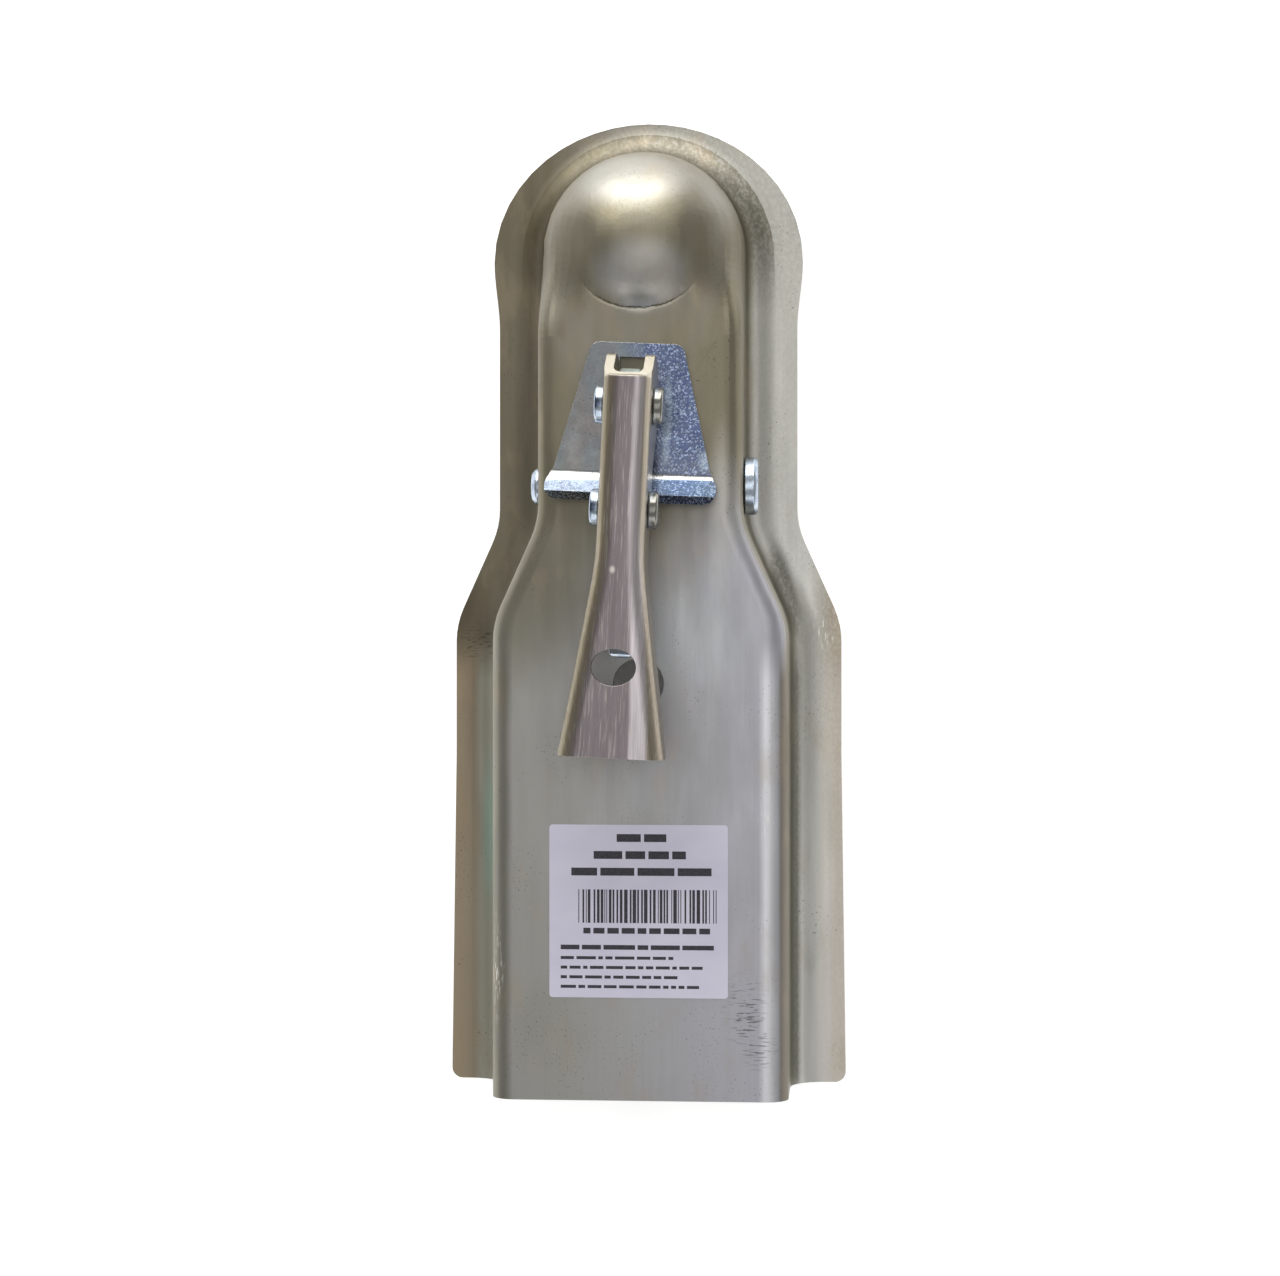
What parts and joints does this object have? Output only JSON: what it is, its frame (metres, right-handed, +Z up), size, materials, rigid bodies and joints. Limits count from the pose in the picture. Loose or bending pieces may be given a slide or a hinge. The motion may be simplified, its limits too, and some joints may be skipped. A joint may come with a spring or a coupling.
{
  "type": "trailer coupling head",
  "caption": "Pressed-steel trailer coupling head for a channel tongue, with a cam lever, a trigger latch and a hinged ball clamp.",
  "frame": {"origin": "centre of the hitch ball that the socket holds", "axes": "+Y towards the nose, +Z up out of the web, +X to the right when looking forward"},
  "size_m": [0.1162, 0.2814, 0.074],
  "materials": {
    "body_zinc": "satin olive-grey zinc plate with a faint coloured film",
    "bright_zinc": "bright blue-white zinc plate with spangle",
    "lever_zinc": "satin khaki and mauve-grey zinc plate",
    "rivet_zinc": "bright zinc plate, smooth",
    "trigger_zinc": "bright zinc plate",
    "bolt_zinc": "pale zinc plate",
    "spring_steel": "oiled spring wire",
    "clamp_zinc": "satin zinc plate",
    "nylon": "pale nylon",
    "label_paper": "matt sticker paper"
  },
  "bodies": {
    "coupler": {"coupler_body": "body_zinc", "latch_plate": "bright_zinc", "clamp_pin": "rivet_zinc", "spring_top_washer": "bolt_zinc", "clamp_spring": "spring_steel", "label": "label_paper"},
    "draw_bolt": {"draw_bolt": "bolt_zinc", "adjusting_nut": "bolt_zinc", "nut_insert": "nylon", "rocker_washer": "bolt_zinc"},
    "lever": {"lever": "lever_zinc", "lever_pivot_rivet": "rivet_zinc", "trigger_rivet": "rivet_zinc", "trigger_spring": "spring_steel"},
    "trigger": {"trigger": "trigger_zinc"},
    "clamp": {"ball_clamp": "clamp_zinc", "spring_seat": "bolt_zinc"}
  },
  "joints": [
    {"name": "draw_bolt_slide", "type": "slide", "parent": "coupler", "child": "draw_bolt", "axis": [0, 0, -1], "range_m": [0, 0.004], "deforming": ["clamp_spring"]},
    {"name": "lever_hinge", "type": "hinge", "parent": "draw_bolt", "child": "lever", "pos_m": [-0.0009, -0.0473, 0.0425], "axis": [-0.9989, 0.0471, 0], "range_deg": [0, 90.2]},
    {"name": "trigger_hinge", "type": "hinge", "parent": "lever", "child": "trigger", "pos_m": [-0.00223, -0.07557, 0.0425], "axis": [-0.9989, 0.0471, 0], "range_deg": [0, 12], "stiffness_Nm_per_rad": 0.05, "springref_deg": -11.46, "deforming": ["trigger_spring"]},
    {"name": "clamp_hinge", "type": "hinge", "parent": "coupler", "child": "clamp", "pos_m": [0, -0.0674, 0.005], "axis": [-1, 0, 0], "range_deg": [0, 11.6]}
  ],
  "couplings": [
    {"joint": "lever_hinge", "follows": "draw_bolt_slide", "rad_per_m": 392.7},
    {"joint": "clamp_hinge", "follows": "draw_bolt_slide", "rad_per_m": 49.751}
  ]
}
